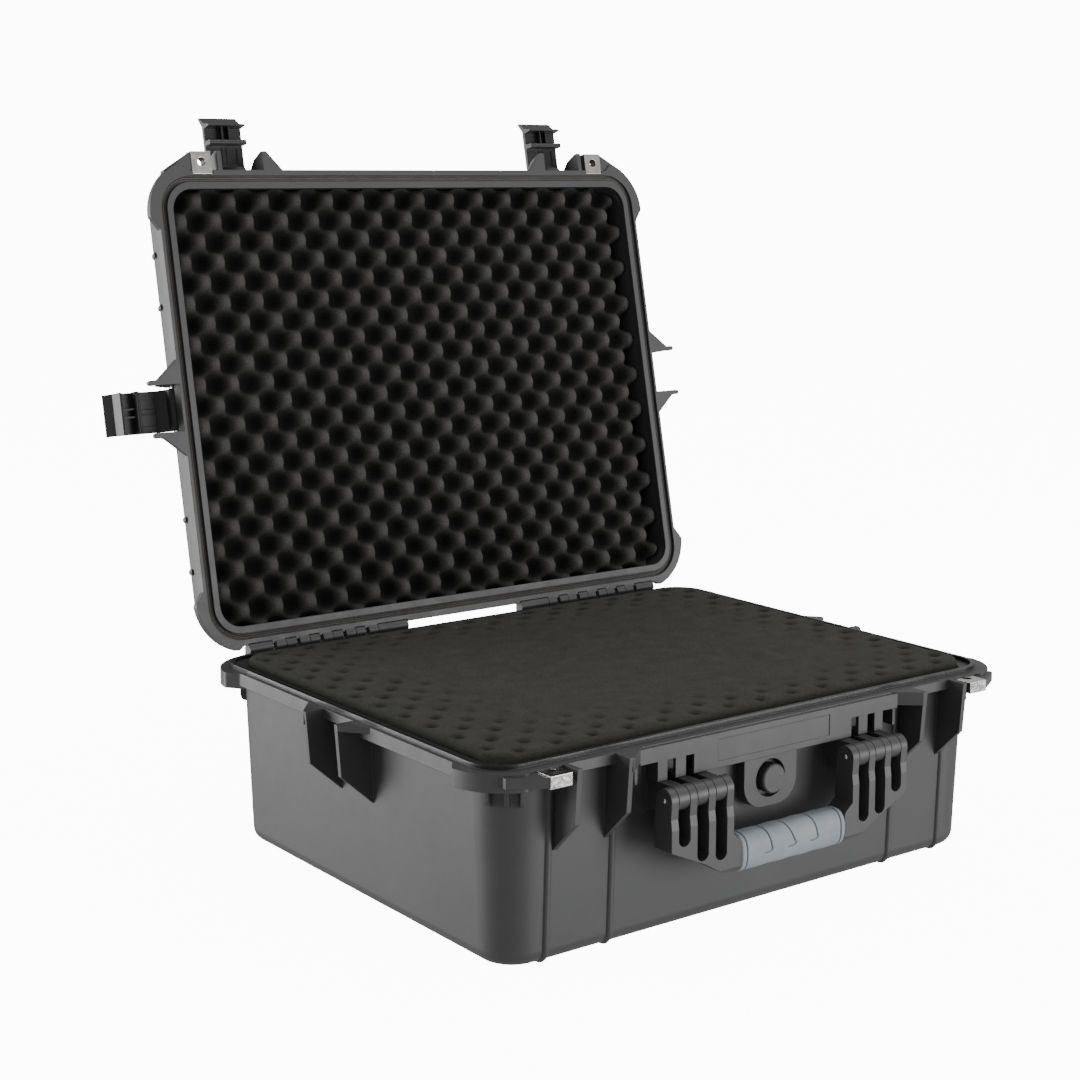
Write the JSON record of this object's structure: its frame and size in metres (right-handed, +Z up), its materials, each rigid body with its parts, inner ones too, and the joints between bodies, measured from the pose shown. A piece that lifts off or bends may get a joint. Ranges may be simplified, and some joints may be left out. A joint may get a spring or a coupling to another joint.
{
  "type": "transport case",
  "caption": "Moulded waterproof transport case standing open, foam in base and lid, swinging latches, hinged front handle, padlock eyes and a pressure valve.",
  "frame": {"origin": "middle of the flat bottom that the case stands on", "axes": "+X to the right seen from the front, the handle side faces -Y, +Z up"},
  "size_m": [0.6286, 0.5973, 0.6262],
  "materials": {
    "shell_plastic": "fine matt grain",
    "latch_plastic": "fine matt grain",
    "foam": "open-cell foam",
    "seal_rubber": "matt",
    "grip_rubber": "matt",
    "steel": "polished",
    "valve_plastic": "matt"
  },
  "bodies": {
    "base": {"base_shell": "shell_plastic", "base_foam_top": "foam", "base_foam_middle": "foam", "base_foam_bottom": "foam", "padlock_plate_base_left": "steel", "padlock_plate_base_right": "steel", "hinge_pin_left": "steel", "hinge_pin_right": "steel", "handle_pin_left": "steel", "handle_pin_right": "steel", "valve_body": "valve_plastic", "valve_nut": "valve_plastic", "valve_seal": "seal_rubber"},
    "lid": {"lid_shell": "shell_plastic", "lid_seal": "seal_rubber", "lid_foam": "foam", "padlock_plate_lid_left": "steel", "padlock_plate_lid_right": "steel", "latch_pin_front_left": "steel", "latch_pin_front_right": "steel", "latch_pin_left": "steel", "latch_pin_right": "steel"},
    "handle": {"handle_frame": "shell_plastic", "handle_grip": "grip_rubber"},
    "knob": {"valve_knob": "valve_plastic"},
    "front_left_latch": {"latch_front_left": "latch_plastic"},
    "front_right_latch": {"latch_front_right": "latch_plastic"},
    "left_latch": {"latch_left": "latch_plastic"},
    "right_latch": {"latch_right": "latch_plastic"}
  },
  "joints": [
    {"name": "lid_hinge", "type": "hinge", "parent": "base", "child": "lid", "pos_m": [0, 0.216, 0.1605], "axis": [1, 0, 0], "range_deg": [0, 102]},
    {"name": "handle_swing", "type": "hinge", "parent": "base", "child": "handle", "pos_m": [0, -0.233, 0.1175], "axis": [-1, 0, 0], "range_deg": [0, 95]},
    {"name": "valve_turn", "type": "hinge", "parent": "base", "child": "knob", "pos_m": [0, -0.2145, 0.1076], "axis": [0, -1, 0], "range_deg": [0, 180]},
    {"name": "front_left_latch_swing", "type": "hinge", "parent": "lid", "child": "front_left_latch", "pos_m": [-0.18, 0.32225, 0.57139], "axis": [-1, 0, 0], "range_deg": [-90, 50]},
    {"name": "front_right_latch_swing", "type": "hinge", "parent": "lid", "child": "front_right_latch", "pos_m": [0.18, 0.32225, 0.57139], "axis": [-1, 0, 0], "range_deg": [-90, 50]},
    {"name": "left_latch_swing", "type": "hinge", "parent": "lid", "child": "left_latch", "pos_m": [-0.2635, 0.27942, 0.36989], "axis": [0, -0.2079, -0.9781], "range_deg": [-90, 50]},
    {"name": "right_latch_swing", "type": "hinge", "parent": "lid", "child": "right_latch", "pos_m": [0.2635, 0.27942, 0.36989], "axis": [0, 0.2079, 0.9781], "range_deg": [-125, 15]}
  ]
}
